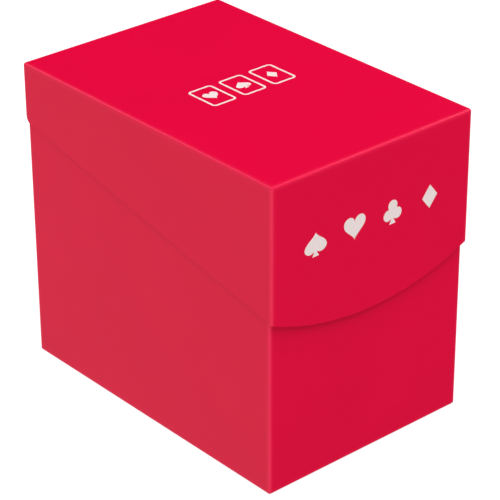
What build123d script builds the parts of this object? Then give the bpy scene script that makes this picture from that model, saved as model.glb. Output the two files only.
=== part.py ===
from build123d import *
import os

# Flip-top deck box, folded and welded from polypropylene sheet. Millimetres, +Z up.
# The origin is the centre of the footprint on the table, and the box's narrow front faces -Y.
# Each sheet is cut at its scored folds into one solid for each panel or tab.

# Overall size, over the closed lid
case_width = 75.6
case_depth = 110.5
case_height = 98.0

# Sheet and folds
sheet = 0.5
fold_radius = 0.8           # outside of a scored fold
cut_corner = 2.0            # corner radius of a die-cut tab or flap
weld_radius = 1.6           # weld dimple in the face of a sheet
weld_depth = 0.2

# Clearances between the lid and the body
side_lap = 0.06             # lid side flap to body side wall
back_lap = 0.05             # lid back flap to body back wall
front_lap = 0.4             # lid corner tab to body front wall
top_lap = 0.5               # underside of the lid's top to the top of the back wall

# Lid
side_flap_front = 41.8      # front end of a side flap's slanted edge, below the top
side_flap_drop = 1.3        # rear end of that edge, below the hinge line
side_flap_rounding = 2.5    # rounding of its rear lower corner
front_flap_sag = 8.1        # middle of the front flap's curved edge, below its ends
corner_tab_width = 14.0
corner_tab_clear = 2.5      # corner tab's ends to the top and to the flap's lower edge
corner_seam = 0.1           # rear end of a side flap to the back flap

# Living hinge and the weld strip below it
hinge_drop = 17.6           # hinge line below the top
hinge_web = 0.2             # thickness of the scored web
hinge_band = 1.0            # height of the web
hinge_inset = 6.0           # ends of the web and strip, in from the sides of the case
strip_height = 15.0
strip_welds = 6

# Body
front_rise = 6.0            # front wall's top edge above the hinge line
ramp_length = 30.0          # side wall's top edge slopes down over this length behind the front
notch_width = 40.0
notch_depth = 13.0
notch_rounding = 4.0
floor_flap_width = 24.0
floor_flap_clear = 1.5      # ends of the floor flaps to the walls or the tuck tab
seam_flap_width = 12.0
seam_flap_clear = 2.0       # ends of the seam flap to the floor flap and to the wall's top edge
seam_welds = 5
tuck_tab_height = 14.0
tuck_tab_clear = 1.0        # tuck tab to the seam flap and, on the other side, to the wall
tuck_welds = 4

# Divider
divider_thickness = 0.4
divider_side_gap = 0.6
divider_floor_gap = 0.2
divider_back_gap = 0.3
divider_shoulder = 90.0     # height of the shoulders
index_height = 4.0          # height of the index tab above the shoulders
index_width = 26.0
index_inset = 6.0           # index tab in from the divider's edge
divider_front_gap = 0.3     # left to the front wall at the end of its travel

# Worked-out places
lid_front = -case_depth / 2
lid_back = case_depth / 2
lid_side = case_width / 2
fold_line = case_height - fold_radius       # flaps hang from here
side_flap_back = hinge_drop + side_flap_drop
hinge_z = case_height - hinge_drop
hinge_y = lid_back

body_side = lid_side - sheet - side_lap
body_front = lid_front + 2 * sheet + front_lap
body_back = lid_back - sheet - back_lap
body_top = case_height - sheet - top_lap
front_top = hinge_z + front_rise
inner_side = body_side - sheet
inner_front = body_front + sheet
inner_back = body_back - sheet
floor_top = 2 * sheet                        # top of the floor flaps, which carry the cards

divider_back = inner_back - sheet - divider_back_gap
divider_travel = divider_back - divider_thickness - inner_front - divider_front_gap


def block(x, y, z):
    """Box between the pairs of limits x, y and z."""
    size = (x[1] - x[0], y[1] - y[0], z[1] - z[0])
    return Pos(x[0], y[0], z[0]) * Box(*size, align=(Align.MIN, Align.MIN, Align.MIN))


def across(face, y):
    """A face drawn in X and Z, made solid between the limits y."""
    return Pos(0, y[1], 0) * extrude(Plane.XZ * face, y[1] - y[0])


def along(face, x):
    """A face drawn in Y and Z, made solid between the limits x."""
    return Pos(x[0], 0, 0) * extrude(Plane.YZ * face, x[1] - x[0])


def rounded(face, corners, radius):
    """The face with the corners that lie at these points rounded."""
    picked = [v for v in face.vertices() if any((v.center() - Vector(*c)).length < 0.01 for c in corners)]
    return fillet(picked, radius)


def rectangle(x, y):
    return make_face(Polyline((x[0], y[0]), (x[1], y[0]), (x[1], y[1]), (x[0], y[1]), close=True))


def write(name, solid):
    solid.label = name
    export_step(solid, f"parts/{name}.step")


def lid_shell():
    """The whole lid as a hollow block with rounded folds, before it is cut into panels."""
    outer = block((-lid_side, lid_side), (lid_front, lid_back), (0, case_height))
    upright = outer.edges().filter_by(Axis.Z)
    outer = fillet(upright + outer.edges().group_by(Axis.Z)[-1], fold_radius)
    inner = block(
        (sheet - lid_side, lid_side - sheet), (lid_front + sheet, lid_back - sheet), (0, case_height - sheet)
    )
    inner = fillet(inner.edges().group_by(Axis.Z)[-1], fold_radius - sheet)
    return outer - inner


def lid_top(shell):
    return shell & block((-lid_side, lid_side), (lid_front, lid_back), (fold_line, case_height))


def lid_front_flap(shell):
    corner = case_height - side_flap_front
    edge = ThreePointArc((-lid_side, corner), (0, corner - front_flap_sag), (lid_side, corner))
    sides = Polyline((lid_side, corner), (lid_side, fold_line), (-lid_side, fold_line), (-lid_side, corner))
    return shell & across(make_face(edge + sides), (lid_front, lid_front + sheet))


def lid_side_flap(shell, side):
    """Side flap with its slanted lower edge; side is -1 for left and 1 for right."""
    front = lid_front + sheet
    back = lid_back - sheet - corner_seam
    slope = (side_flap_front - side_flap_back) / case_depth
    low_front = case_height - side_flap_front + slope * (front - lid_front)
    low_back = case_height - side_flap_back - slope * (lid_back - back)
    outline = make_face(
        Polyline((front, low_front), (back, low_back), (back, fold_line), (front, fold_line), close=True)
    )
    outline = rounded(outline, [(back, low_back)], side_flap_rounding)
    x = sorted((side * lid_side, side * (lid_side - sheet)))
    return shell & along(outline, x)


def lid_back_flap(shell):
    return shell & block((-lid_side, lid_side), (lid_back - sheet, lid_back), (hinge_z + hinge_band / 2, fold_line))


def weld(x, y, z):
    """Cutter for a round weld dimple in a face at y, seen from the front or the back."""
    return Pos(x, y, z) * Cylinder(weld_radius, 2 * weld_depth, rotation=(90, 0, 0))


def spread(low, high, count):
    """Evenly spaced middles of count stretches between the limits."""
    step = (high - low) / count
    return [low + step * (i + 0.5) for i in range(count)]


def lid_corner_tab(side):
    """Tab of a side flap, folded behind the front flap and welded to it."""
    outer = lid_side - sheet
    inner = outer - corner_tab_width
    taper = corner_tab_width / 4
    low = case_height - side_flap_front + corner_tab_clear
    high = case_height - sheet - corner_tab_clear
    points = [(outer, low), (outer, high), (inner, high - taper), (inner, low + taper)]
    outline = rounded(make_face(Polyline(*points, close=True)), points[2:], cut_corner)
    tab = across(outline, (lid_front + sheet, lid_front + 2 * sheet))
    for z in spread(low, high, 2):
        tab -= weld((inner + outer) / 2, lid_front + 2 * sheet, z)
    return tab if side > 0 else mirror(tab, Plane.YZ)


def living_hinge():
    """Thin web of the lid sheet, flush with the outside of the weld strip."""
    half = lid_side - hinge_inset
    outside = body_back + sheet
    z = (hinge_z - hinge_band / 2, hinge_z + hinge_band / 2)
    return block((-half, half), (outside - hinge_web, outside), z)


def hinge_weld_strip():
    """End of the lid sheet below the hinge, lying on the back wall, with a row of weld dimples."""
    half = lid_side - hinge_inset
    high = hinge_z - hinge_band / 2
    low = high - strip_height
    outline = rounded(rectangle((-half, half), (low, high)), [(-half, low), (half, low)], cut_corner)
    strip = across(outline, (body_back, body_back + sheet))
    for x in spread(-half, half, strip_welds):
        strip -= weld(x, body_back + sheet, (low + high) / 2)
    return strip


def body_shell():
    """The body's wrap and floor as one open block with rounded folds, before it is cut into panels."""
    outer = block((-body_side, body_side), (body_front, body_back), (0, body_top))
    upright = outer.edges().filter_by(Axis.Z)
    outer = fillet(upright + outer.edges().group_by(Axis.Z)[0], fold_radius)
    inner = block((-inner_side, inner_side), (inner_front, inner_back), (sheet, body_top))
    return outer - inner


def body_front_wall(shell):
    """Front wall with a wide shallow notch for the thumb in its top edge."""
    half = notch_width / 2
    shoulders = [(-half, front_top), (half, front_top)]
    edge = ThreePointArc(shoulders[0], (0, front_top - notch_depth), shoulders[1])
    rim = Polyline(
        shoulders[1], (body_side, front_top), (body_side, sheet), (-body_side, sheet), (-body_side, front_top),
        shoulders[0],
    )
    outline = rounded(make_face(edge + rim), shoulders, notch_rounding)
    return shell & across(outline, (body_front, inner_front))


def body_side_wall(shell, side):
    """Side wall, full height at the back, with its top edge sloping down to the front wall."""
    outline = make_face(
        Polyline(
            (inner_front, sheet),
            (inner_back, sheet),
            (inner_back, body_top),
            (inner_front + ramp_length, body_top),
            (inner_front, front_top),
            close=True,
        )
    )
    x = sorted((side * body_side, side * inner_side))
    return shell & along(outline, x)


def seam_span():
    return (inner_side - seam_flap_width, inner_side)


def tuck_span():
    return (tuck_tab_clear - inner_side, seam_span()[0] - tuck_tab_clear)


def body_back_wall(shell):
    """Back wall, with weld dimples over the seam flap and the tuck tab."""
    wall = shell & block((-body_side, body_side), (inner_back, body_back), (0, body_top))
    for z in spread(floor_top + tuck_tab_height, hinge_z - strip_height, seam_welds):
        wall -= weld(sum(seam_span()) / 2, body_back, z)
    for x in spread(*tuck_span(), tuck_welds):
        wall -= weld(x, body_back, sheet + tuck_tab_height / 2)
    return wall


def body_seam_flap():
    """Flap of the right wall, folded inside the back wall and welded, which closes the wrap."""
    x = seam_span()
    z = (floor_top + seam_flap_clear, body_top - seam_flap_clear)
    outline = rounded(rectangle(x, z), [(x[0], z[0]), (x[0], z[1])], cut_corner)
    return across(outline, (inner_back - sheet, inner_back))


def bottom_panel(shell):
    """Bottom, folded from the front wall; it ends at the back wall, where the tuck tab turns up."""
    return shell & block((-body_side, body_side), (body_front, inner_back), (0, sheet))


def bottom_tuck_tab():
    """Rear edge of the bottom, turned up inside the back wall and welded to it."""
    x = tuck_span()
    z = (sheet, sheet + tuck_tab_height)
    outline = rounded(rectangle(x, z), [(x[0], z[1]), (x[1], z[1])], cut_corner)
    return across(outline, (inner_back - sheet, inner_back))


def bottom_side_flap(side):
    """Floor flap of a side wall, folded in on top of the bottom."""
    x = (inner_side - floor_flap_width, inner_side)
    y = (inner_front + floor_flap_clear, inner_back - sheet - floor_flap_clear)
    outline = rounded(rectangle(x, y), [(x[0], y[0]), (x[0], y[1])], cut_corner)
    flap = Pos(0, 0, sheet) * extrude(outline, sheet)
    return flap if side > 0 else mirror(flap, Plane.YZ)


def card_divider():
    """Loose divider sheet with an index tab, standing near the back wall."""
    half = inner_side - divider_side_gap
    low = floor_top + divider_floor_gap
    shoulder = low + divider_shoulder
    top = shoulder + index_height
    left = index_inset - half
    right = left + index_width
    points = [
        (-half, low), (half, low), (half, shoulder), (right + index_height, shoulder), (right, top), (left, top),
        (left - index_height, shoulder), (-half, shoulder),
    ]
    outline = rounded(make_face(Polyline(*points, close=True)), points[:3] + points[4:6] + points[7:], cut_corner)
    return across(outline, (divider_back - divider_thickness, divider_back))


os.makedirs("parts", exist_ok=True)

lid = lid_shell()
write("lid_top", lid_top(lid))
write("lid_front_flap", lid_front_flap(lid))
write("lid_left_flap", lid_side_flap(lid, -1))
write("lid_right_flap", lid_side_flap(lid, 1))
write("lid_back_flap", lid_back_flap(lid))
write("lid_left_corner_tab", lid_corner_tab(-1))
write("lid_right_corner_tab", lid_corner_tab(1))
write("living_hinge", living_hinge())
write("hinge_weld_strip", hinge_weld_strip())

body = body_shell()
write("body_front_wall", body_front_wall(body))
write("body_left_wall", body_side_wall(body, -1))
write("body_right_wall", body_side_wall(body, 1))
write("body_back_wall", body_back_wall(body))
write("body_seam_flap", body_seam_flap())
write("bottom_panel", bottom_panel(body))
write("bottom_tuck_tab", bottom_tuck_tab())
write("bottom_left_flap", bottom_side_flap(-1))
write("bottom_right_flap", bottom_side_flap(1))
write("card_divider", card_divider())

print("hinge axis: y", round(hinge_y, 3), "z", round(hinge_z, 3))
print("divider travel", round(divider_travel, 3))
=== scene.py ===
import math

import bpy
import bmesh
from mathutils import Matrix, Vector


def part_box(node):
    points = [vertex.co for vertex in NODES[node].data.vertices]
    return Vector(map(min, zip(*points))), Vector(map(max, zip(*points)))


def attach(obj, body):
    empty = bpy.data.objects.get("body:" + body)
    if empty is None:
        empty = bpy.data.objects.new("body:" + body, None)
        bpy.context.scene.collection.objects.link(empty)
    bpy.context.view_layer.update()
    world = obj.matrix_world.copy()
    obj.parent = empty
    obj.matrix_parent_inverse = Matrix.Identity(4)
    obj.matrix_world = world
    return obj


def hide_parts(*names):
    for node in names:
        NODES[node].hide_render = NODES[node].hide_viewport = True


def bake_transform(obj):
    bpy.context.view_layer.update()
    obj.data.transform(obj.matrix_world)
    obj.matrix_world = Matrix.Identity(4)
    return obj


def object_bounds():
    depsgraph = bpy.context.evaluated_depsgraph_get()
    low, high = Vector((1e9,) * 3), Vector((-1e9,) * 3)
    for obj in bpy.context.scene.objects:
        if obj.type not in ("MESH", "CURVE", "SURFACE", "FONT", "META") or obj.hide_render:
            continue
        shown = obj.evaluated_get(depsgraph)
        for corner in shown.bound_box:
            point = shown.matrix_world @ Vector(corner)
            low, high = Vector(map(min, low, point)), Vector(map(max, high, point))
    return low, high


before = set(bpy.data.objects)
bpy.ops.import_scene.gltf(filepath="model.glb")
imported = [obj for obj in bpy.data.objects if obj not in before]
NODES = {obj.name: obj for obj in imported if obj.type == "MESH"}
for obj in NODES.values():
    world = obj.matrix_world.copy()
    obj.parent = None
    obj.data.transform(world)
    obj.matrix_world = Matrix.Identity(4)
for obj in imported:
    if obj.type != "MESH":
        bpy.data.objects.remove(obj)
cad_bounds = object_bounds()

MM = 0.001
LOW, HIGH = cad_bounds
CENTRE = (LOW + HIGH) / 2
SCENE = bpy.context.scene

# Camera, as angles in degrees and distances in metres from the middle of the closed box
CAMERA_AZIMUTH = -40.99
CAMERA_ELEVATION = 28.21
CAMERA_ROLL = -0.24
CAMERA_DISTANCE = 0.68145
CAMERA_AIM = (-0.00200, 0.00438)     # middle of the box, right of and above the middle of the picture
CAMERA_LENS = 164.63                 # mm on a 36 mm sensor

# Sheet, frosted sheet and ink; colours are linear
RED = (0.86, 0.0005, 0.050)
SHEET_ROUGHNESS = 0.42
SHEET_SPECULAR = 0.23
HINGE_ROUGHNESS = 0.38               # the web is pressed smoother than the sheet
SHEET_IOR = 1.49
FROST = (0.80, 0.81, 0.81)
FROST_ROUGHNESS = 0.5
FROST_SPECULAR = 0.4
FROST_TRANSMISSION = 0.25
INK = (0.99, 0.87, 0.85)
INK_SPECULAR = 0.25

# A fold, where the sheet is stretched: paler and smoother than the flat; the paler colour is partly a
# painted highlight along the fold
CREASE_PALE_AND_HIGHLIGHT_RED = (0.92, 0.012, 0.075)
CREASE_CORE = 0.4 * MM               # in full up to here from the corner of the folded box
CREASE_REACH = 1.5 * MM              # gone from here on
CREASE_GLOSS = 0.05                  # how much smoother it is

# Noise, in waves to the metre
CLOUD_SCALE = 28.0                   # unevenness of the colour
WAVE_SCALE = 260.0                   # waviness of the flat
GRAIN_SCALE = 3200.0                 # grain of the extrusion roller
MOTTLE_SCALE = 1400.0                # unevenness of the ink
NOISE_LOW, NOISE_HIGH = 0.3, 0.7     # most of a noise lies between these
CLOUD_DEPTH = 0.02                   # share of the colour, either way
GRAIN_DEPTH = 0.03                   # of roughness, either way
GRAIN_BUMP = 0.01 * MM
WAVE_BUMP = 0.03 * MM

# Lamps: name, azimuth and elevation in degrees, distance and size in metres, level
LAMPS = (
    ("key", -34, 64, 2.6, (2.6, 2.2), 0.955),
    ("front_fill", 0, -5, 1.6, (1.0, 0.6), 0.145),
    ("right_fill", 75, 30, 1.8, (1.2, 1.0), 0.42),
    ("back_fill", 205, 35, 1.8, (1.2, 1.0), 0.26),
)

# Glows of the studio below the horizon, each from low to high of the cosine to the side it lies towards;
# level is its full brightness, where 1 is a white card in full light
FRONT_GLOW = {"towards": (-0.8, -0.35, 0.0), "low": -0.25, "high": 0.75, "gather": 1.3, "level": 1.38}
BACK_GLOW = {"towards": (0.6, 0.8, 0.0), "low": 0.0, "high": 0.9, "gather": 1.0, "level": 0.75}
GLOW_LOW, GLOW_TOP = -0.2, 0.1       # height of a direction where the glows are full, and gone

# Floor, in metres
FLOOR_REACH = 20.0
FLOOR_DROP = 0.2 * MM                # below the box, so that the two don't flicker
FLOOR_GREY = 0.30                    # the part of its brightness that shadows can take away
FLOOR_NEAR, FLOOR_FAR = 0.15, 0.7
FLOOR_NEAR_SHINE, FLOOR_FAR_SHINE = 0.88, 1.0

# Hinge web
HINGE_ROWS = 24
HINGE_SCORE = 0.07 * MM              # depth of the score line on the outside

# Print on the lid
PIP_STEPS = 48                       # corners of a heart or a disc
PIP_SIZE = 7.4 * MM
FRONT_PRINT_WIDTH = 51 * MM
FRONT_PRINT_DROP = 22.3 * MM         # middle of the row, below the top
CARD_WIDTH = 8.8 * MM
CARD_HEIGHT = 12.4 * MM
CARD_PITCH = 11.4 * MM
CARD_ROUNDING = 1.4 * MM
CARD_LINE = 0.7 * MM
CARD_PIP = CARD_WIDTH * 0.52
CORNER_STEPS = 8
INK_THICKNESS = 0.020 * MM
INK_STEP = 0.003 * MM                # each overlapping plate of a pip is this much thinner
INK_SUNK = 0.010 * MM


# ---------------------------------------------------------------- node helpers


def node_tree(material):
    material.use_nodes = True
    tree = material.node_tree
    tree.nodes.clear()
    return tree


def add(tree, kind, inputs=(), **settings):
    """A node with its settings and input values; an input value that is a socket is linked."""
    node = tree.nodes.new(kind)
    for key, value in settings.items():
        setattr(node, key, value)
    for key, value in dict(inputs).items():
        if isinstance(value, bpy.types.NodeSocket):
            tree.links.new(value, node.inputs[key])
        else:
            node.inputs[key].default_value = value
    return node


def maths(tree, operation, a, b):
    return add(tree, "ShaderNodeMath", {0: a, 1: b}, operation=operation).outputs[0]


def noise(tree, where, scale, detail):
    inputs = {"Vector": where, "Scale": scale, "Detail": detail}
    return add(tree, "ShaderNodeTexNoise", inputs).outputs["Fac"]


def span(tree, value, low, high, to_low, to_high):
    inputs = {"Value": value, "From Min": low, "From Max": high, "To Min": to_low, "To Max": to_high}
    return add(tree, "ShaderNodeMapRange", inputs).outputs["Result"]


# ---------------------------------------------------------------- materials


def crease_pale_and_highlight_mask(tree, where, box, folds_below):
    """1 on the folds of a folded box and 0 away from them; it places the fold colour, partly stretched
    sheet and partly a painted highlight.
    A fold is where two faces meet, so the second smallest of the distances to the faces is small there. The
    box folds below or above, not both."""
    low, high = box
    axes = add(tree, "ShaderNodeSeparateXYZ", {0: where}).outputs
    to_low = [maths(tree, "SUBTRACT", axes[name], low[axis]) for axis, name in enumerate("XYZ")]
    to_high = [maths(tree, "SUBTRACT", high[axis], axes[name]) for axis, name in enumerate("XYZ")]
    across = maths(tree, "MINIMUM", to_low[0], to_high[0])
    along = maths(tree, "MINIMUM", to_low[1], to_high[1])
    upright = to_low[2] if folds_below else to_high[2]
    nearer = maths(tree, "MINIMUM", across, along)
    farther = maths(tree, "MAXIMUM", across, along)
    second = maths(tree, "MAXIMUM", nearer, maths(tree, "MINIMUM", farther, upright))
    return span(tree, second, CREASE_CORE, CREASE_REACH, 1.0, 0.0)


def polypropylene(name, colour, roughness, specular, crease=None):
    """Satin sheet: a faint cloudy tone, a soft waviness, the fine grain of the extrusion roller, and
    folds that are a little paler and smoother than the flat of the sheet, the paler colour partly a painted
    highlight."""
    material = bpy.data.materials.new(name)
    tree = node_tree(material)
    where = add(tree, "ShaderNodeTexCoord").outputs["Object"]
    cloud = noise(tree, where, CLOUD_SCALE, 3.0)
    tone = span(tree, cloud, NOISE_LOW, NOISE_HIGH, 1 - CLOUD_DEPTH, 1 + CLOUD_DEPTH)
    grain = noise(tree, where, GRAIN_SCALE, 2.0)
    wave = noise(tree, where, WAVE_SCALE, 2.0)
    rough = span(tree, grain, NOISE_LOW, NOISE_HIGH, roughness - GRAIN_DEPTH, roughness + GRAIN_DEPTH)
    base = add(tree, "ShaderNodeVectorMath", {0: colour, "Scale": tone}, operation="SCALE").outputs[0]
    if crease:
        # Folds get a paler colour: partly stretched sheet, partly a painted highlight
        mask = crease_pale_and_highlight_mask(tree, where, *crease)
        blend = {"Factor": mask, 6: base, 7: (*CREASE_PALE_AND_HIGHLIGHT_RED, 1.0)}
        base = add(tree, "ShaderNodeMix", blend, data_type="RGBA").outputs[2]
        rough = maths(tree, "SUBTRACT", rough, maths(tree, "MULTIPLY", mask, CREASE_GLOSS))
    fine = add(tree, "ShaderNodeBump", {"Strength": 0.25, "Distance": GRAIN_BUMP, "Height": grain})
    soft = add(
        tree, "ShaderNodeBump",
        {"Strength": 0.15, "Distance": WAVE_BUMP, "Height": wave, "Normal": fine.outputs["Normal"]},
    )
    shader = add(
        tree, "ShaderNodeBsdfPrincipled",
        {"Base Color": base, "Roughness": rough, "Normal": soft.outputs["Normal"]},
    )
    shader.inputs["IOR"].default_value = SHEET_IOR
    shader.inputs["Specular IOR Level"].default_value = specular
    add(tree, "ShaderNodeOutputMaterial", {"Surface": shader.outputs[0]})
    return material


def paint(obj, material):
    obj.data.materials.clear()
    obj.data.materials.append(material)


# ---------------------------------------------------------------- stage


def make_floor():
    """Wide pale floor. It only shows and takes the shadow, and sends no light back to the box."""
    mesh = bpy.data.meshes.new("floor")
    signs = ((-1, -1), (1, -1), (1, 1), (-1, 1))
    mesh.from_pydata([(x * FLOOR_REACH, y * FLOOR_REACH, 0) for x, y in signs], [], [(0, 1, 2, 3)])
    floor = bpy.data.objects.new("floor", mesh)
    SCENE.collection.objects.link(floor)
    floor.location.z = LOW.z - FLOOR_DROP
    floor.visible_diffuse = False
    floor.visible_glossy = False
    floor.visible_shadow = False
    material = bpy.data.materials.new("floor_white")
    tree = node_tree(material)
    where = add(tree, "ShaderNodeTexCoord").outputs["Object"]
    away = add(tree, "ShaderNodeVectorMath", {0: where}, operation="LENGTH").outputs["Value"]
    strength = span(tree, away, FLOOR_NEAR, FLOOR_FAR, FLOOR_NEAR_SHINE, FLOOR_FAR_SHINE)
    matte = add(tree, "ShaderNodeBsdfDiffuse", {"Color": (FLOOR_GREY, FLOOR_GREY, FLOOR_GREY, 1)})
    shine = add(tree, "ShaderNodeEmission", {"Color": (1, 1, 1, 1), "Strength": strength})
    both = add(tree, "ShaderNodeAddShader", {0: matte.outputs[0], 1: shine.outputs[0]})
    add(tree, "ShaderNodeOutputMaterial", {"Surface": both.outputs[0]})
    paint(floor, material)


def softbox(name, azimuth, elevation, distance, size, level):
    """Area light aimed at the box; level is the brightness it gives a white card facing it."""
    a, e = math.radians(azimuth), math.radians(elevation)
    back = Vector((math.sin(a) * math.cos(e), -math.cos(a) * math.cos(e), math.sin(e)))
    lamp = bpy.data.lights.new(name, "AREA")
    lamp.shape = "RECTANGLE"
    lamp.size, lamp.size_y = size
    lamp.energy = level * (math.pi * distance) ** 2
    obj = bpy.data.objects.new(name, lamp)
    SCENE.collection.objects.link(obj)
    obj.location = CENTRE + back * distance
    obj.rotation_mode = "QUATERNION"
    obj.rotation_quaternion = back.to_track_quat("Z", "Y")


def glow(tree, direction, towards, low, high, gather, level):
    """Brightness that grows as a direction turns towards a side; a higher gather draws it together."""
    facing = add(tree, "ShaderNodeVectorMath", {0: direction, 1: towards}, operation="DOT_PRODUCT")
    side = maths(tree, "POWER", span(tree, facing.outputs["Value"], low, high, 0.0, 1.0), gather)
    return maths(tree, "MULTIPLY", side, level)


def make_world():
    """Pale to the camera. For light: dark above, and below two glows, front left and back right."""
    world = bpy.data.worlds.new("studio")
    SCENE.world = world
    world.use_nodes = True
    tree = world.node_tree
    tree.nodes.clear()
    ray = add(tree, "ShaderNodeLightPath").outputs["Is Camera Ray"]
    direction = add(tree, "ShaderNodeTexCoord").outputs["Generated"]
    height = add(tree, "ShaderNodeSeparateXYZ", {0: direction}).outputs["Z"]
    below = span(tree, height, GLOW_LOW, GLOW_TOP, 1.0, 0.0)
    front = glow(tree, direction, **FRONT_GLOW)
    back = glow(tree, direction, **BACK_GLOW)
    level = maths(tree, "MULTIPLY", maths(tree, "ADD", front, back), below)
    light = add(tree, "ShaderNodeBackground", {"Color": (1, 1, 1, 1), "Strength": level})
    seen = add(tree, "ShaderNodeBackground", {"Color": (1, 1, 1, 1), "Strength": 1.0})
    mix = add(tree, "ShaderNodeMixShader", {0: ray, 1: light.outputs[0], 2: seen.outputs[0]})
    add(tree, "ShaderNodeOutputWorld", {"Surface": mix.outputs[0]})


def make_camera():
    data = bpy.data.cameras.new("camera")
    data.lens = CAMERA_LENS
    data.sensor_width = 36.0
    data.clip_start, data.clip_end = 0.01, 100.0
    camera = bpy.data.objects.new("camera", data)
    SCENE.collection.objects.link(camera)
    a, e, r = (math.radians(v) for v in (CAMERA_AZIMUTH, CAMERA_ELEVATION, CAMERA_ROLL))
    back = Vector((math.sin(a) * math.cos(e), -math.cos(a) * math.cos(e), math.sin(e)))
    level_right = Vector((math.cos(a), math.sin(a), 0))
    level_up = back.cross(level_right)
    right = math.cos(r) * level_right + math.sin(r) * level_up
    up = -math.sin(r) * level_right + math.cos(r) * level_up
    camera.matrix_world = Matrix((right, up, back)).transposed().to_4x4()
    camera.location = CENTRE + back * CAMERA_DISTANCE - right * CAMERA_AIM[0] - up * CAMERA_AIM[1]
    SCENE.camera = camera


# ---------------------------------------------------------------- the object


def outer_box(*prefixes):
    """Corners of the box around all nodes whose names start with one of the prefixes."""
    corners = [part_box(name) for name in NODES if name.startswith(prefixes)]
    low = [min(c[0][axis] for c in corners) for axis in range(3)]
    high = [max(c[1][axis] for c in corners) for axis in range(3)]
    return low, high


def make_hinge_web(material):
    """The scored web between strip and lid, in fine rows; thinnest at its middle."""
    low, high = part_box("living_hinge")
    outside = high[1]
    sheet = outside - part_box("hinge_weld_strip")[0][1]
    web = outside - low[1] - HINGE_SCORE
    outer, inner = [], []
    for row in range(HINGE_ROWS + 1):
        t = row / HINGE_ROWS
        z = low[2] + (high[2] - low[2]) * t
        to_end = abs(2 * t - 1)
        y = outside - HINGE_SCORE * max(0, 1 - 2 * to_end)
        outer.append((y, z))
        inner.append((y - web - (sheet - web) * to_end ** 2, z))
    ring = outer + inner[::-1]
    count = len(ring)
    points = [(x, y, z) for x in (low[0], high[0]) for y, z in ring]
    sides = [(i, (i + 1) % count, count + (i + 1) % count, count + i) for i in range(count)]
    mesh = bpy.data.meshes.new("hinge_web")
    mesh.from_pydata(points, [], sides + caps(count))
    web_piece = bpy.data.objects.new("hinge_web", mesh)
    SCENE.collection.objects.link(web_piece)
    paint(web_piece, material)
    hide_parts("living_hinge")
    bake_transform(web_piece)


def caps(count):
    """The two end faces of a ring whose second half runs back over its first."""
    half = count // 2
    left = [(i + 1, i, count - 1 - i, count - 2 - i) for i in range(half - 1)]
    right = [tuple(count + i for i in reversed(face)) for face in left]
    return left + right


# ---------------------------------------------------------------- print on the lid


def heart(size):
    """Heart outline about its own middle, point down."""
    tall, lift = 29, 2.5             # of the curve below, in its own units
    points = []
    for step in range(PIP_STEPS):
        t = math.tau * step / PIP_STEPS
        x = 16 * math.sin(t) ** 3
        y = 13 * math.cos(t) - 5 * math.cos(2 * t) - 2 * math.cos(3 * t) - math.cos(4 * t)
        points.append((x * size / tall, (y + lift) * size / tall))
    return points[::-1]


def disc(x, y, radius):
    angles = [math.tau * step / PIP_STEPS for step in range(PIP_STEPS)]
    return [(x + radius * math.cos(a), y + radius * math.sin(a)) for a in angles]


def foot(size):
    """Flared foot of a spade or club, from a point inside the pip down to its bottom."""
    steps, flare = 8, 2.2
    top, low, half = size * 0.1, -size / 2, size * 0.17
    left = [(-half * (k / steps) ** flare, top + (low - top) * k / steps) for k in range(steps + 1)]
    return left + [(-x, y) for x, y in left[:0:-1]]


def diamond(size):
    half_width = size * 0.40
    return [(0, -size / 2), (half_width, 0), (0, size / 2), (-half_width, 0)]


def blade(size):
    """Upper part of a spade: a squashed heart, point up."""
    lift, squash = size * 0.07, 0.86
    return [(-x, lift - y * squash) for x, y in heart(size)]


def leaves(size):
    """Upper part of a club: three discs, and a small one where they meet."""
    radius = size * 0.235
    top, low, middle = size * 0.265, -size * 0.1, size * 0.02
    outer = [disc(0, top, radius), disc(-radius, low, radius), disc(radius, low, radius)]
    return outer + [disc(0, middle, radius * 0.6)]


def pip(kind, size):
    """Outlines of one card suit, as tall as size, about its middle."""
    if kind == "heart":
        return [heart(size)]
    if kind == "diamond":
        return [diamond(size)]
    if kind == "spade":
        return [blade(size), foot(size)]
    return leaves(size) + [foot(size)]


def card_outline(width, height, radius):
    """Rounded rectangle about its own middle."""
    points = []
    for turn in range(4):
        cx = (width / 2 - radius) * (1 if turn in (0, 3) else -1)
        cy = (height / 2 - radius) * (1 if turn in (0, 1) else -1)
        for step in range(CORNER_STEPS + 1):
            a = math.pi / 2 * (turn + step / CORNER_STEPS)
            points.append((cx + radius * math.cos(a), cy + radius * math.sin(a)))
    return points


def lay_plate(build, outline, place, lift, hole=None):
    """Closed plate of ink on a face: place turns (across, up, out) into a point of the object."""
    outer, inner = ([build.verts.new(place(x, y, z)) for x, y in outline] for z in (lift, -INK_SUNK))
    count = len(outline)
    pairs = [(i, (i + 1) % count) for i in range(count)]
    for i, j in pairs:
        build.faces.new((outer[i], inner[i], inner[j], outer[j]))
    if hole is None:
        build.faces.new(outer)
        build.faces.new(inner[::-1])
        return
    outer_rim, inner_rim = ([build.verts.new(place(x, y, z)) for x, y in hole] for z in (lift, -INK_SUNK))
    for i, j in pairs:
        build.faces.new((outer[i], outer[j], outer_rim[j], outer_rim[i]))
        build.faces.new((inner[j], inner[i], inner_rim[i], inner_rim[j]))
        build.faces.new((outer_rim[i], outer_rim[j], inner_rim[j], inner_rim[i]))


def lay_pip(build, kind, size, middle, place):
    for layer, outline in enumerate(pip(kind, size)):
        moved = [(x + middle[0], y + middle[1]) for x, y in outline]
        lay_plate(build, moved, place, INK_THICKNESS - layer * INK_STEP)


def finish_print(name, build, material):
    bmesh.ops.recalc_face_normals(build, faces=build.faces)
    mesh = bpy.data.meshes.new(name)
    build.to_mesh(mesh)
    build.free()
    piece = bpy.data.objects.new(name, mesh)
    SCENE.collection.objects.link(piece)
    paint(piece, material)
    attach(piece, "lid")


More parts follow.
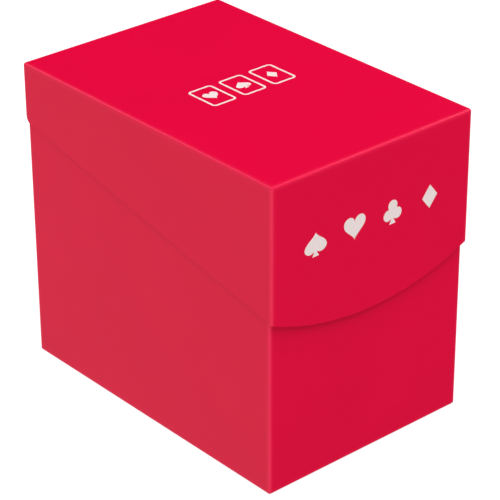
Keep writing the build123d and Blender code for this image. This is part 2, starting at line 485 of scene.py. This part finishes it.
def print_front(material):
    """Row of the four card suits across the lid's front."""
    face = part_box("lid_front_flap")[0][1]
    kinds = ("spade", "heart", "club", "diamond")
    gap = (FRONT_PRINT_WIDTH - PIP_SIZE) / (len(kinds) - 1)

    def place(x, y, out):
        return x, face - out, y

    build = bmesh.new()
    for k, kind in enumerate(kinds):
        middle = ((k - (len(kinds) - 1) / 2) * gap, HIGH.z - FRONT_PRINT_DROP)
        lay_pip(build, kind, PIP_SIZE, middle, place)
    finish_print("lid_front_print", build, material)


def print_top(material):
    """Three small blank cards in a row in the middle of the lid's top, each with one pip."""
    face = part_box("lid_top")[1][2]
    outer = card_outline(CARD_WIDTH, CARD_HEIGHT, CARD_ROUNDING)
    inner = card_outline(CARD_WIDTH - 2 * CARD_LINE, CARD_HEIGHT - 2 * CARD_LINE, CARD_ROUNDING - CARD_LINE)

    def place(x, y, out):
        return x, y, face + out

    build = bmesh.new()
    for k, kind in enumerate(("heart", "spade", "diamond")):
        shift = (k - 1) * CARD_PITCH
        rim, hole = ([(x + shift, y) for x, y in line] for line in (outer, inner))
        lay_plate(build, rim, place, INK_THICKNESS, hole)
        lay_pip(build, kind, CARD_PIP, (shift, 0), place)
    finish_print("lid_top_print", build, material)


def ink(name, colour):
    """Screen-printed ink: nearly even, matt, with a faint mottle where the sheet shows through."""
    material = bpy.data.materials.new(name)
    tree = node_tree(material)
    where = add(tree, "ShaderNodeTexCoord").outputs["Object"]
    mottle = noise(tree, where, MOTTLE_SCALE, 3.0)
    thin = span(tree, mottle, 0.35, 0.75, 0.0, 0.08)
    tone = add(
        tree, "ShaderNodeMix", {"Factor": thin, 6: (*colour, 1.0), 7: (*RED, 1.0)}, data_type="RGBA"
    )
    rough = span(tree, mottle, NOISE_LOW, NOISE_HIGH, 0.5, 0.6)
    shader = add(tree, "ShaderNodeBsdfPrincipled", {"Base Color": tone.outputs[2], "Roughness": rough})
    shader.inputs["Specular IOR Level"].default_value = INK_SPECULAR
    add(tree, "ShaderNodeOutputMaterial", {"Surface": shader.outputs[0]})
    return material


SCENE.view_settings.view_transform = "Standard"
make_camera()
make_world()
for lamp in LAMPS:
    softbox(*lamp)
make_floor()

satin = (RED, SHEET_ROUGHNESS, SHEET_SPECULAR)
lid_red = polypropylene("red_lid_sheet", *satin, (outer_box("lid_"), False))
body_red = polypropylene("red_body_sheet", *satin, (outer_box("body_", "bottom_"), True))
frost = polypropylene("frosted_sheet", FROST, FROST_ROUGHNESS, FROST_SPECULAR)
frost.node_tree.nodes["Principled BSDF"].inputs["Transmission Weight"].default_value = FROST_TRANSMISSION
for name, node in NODES.items():
    if name == "card_divider":
        paint(node, frost)
    elif name.startswith("lid_"):
        paint(node, lid_red)
    else:
        paint(node, body_red)
# The web takes the fold colour: paler from stretching, and partly a painted highlight
make_hinge_web(polypropylene("red_hinge_web", CREASE_PALE_AND_HIGHLIGHT_RED, HINGE_ROUGHNESS, SHEET_SPECULAR))
white_ink = ink("white_ink", INK)
print_front(white_ink)
print_top(white_ink)
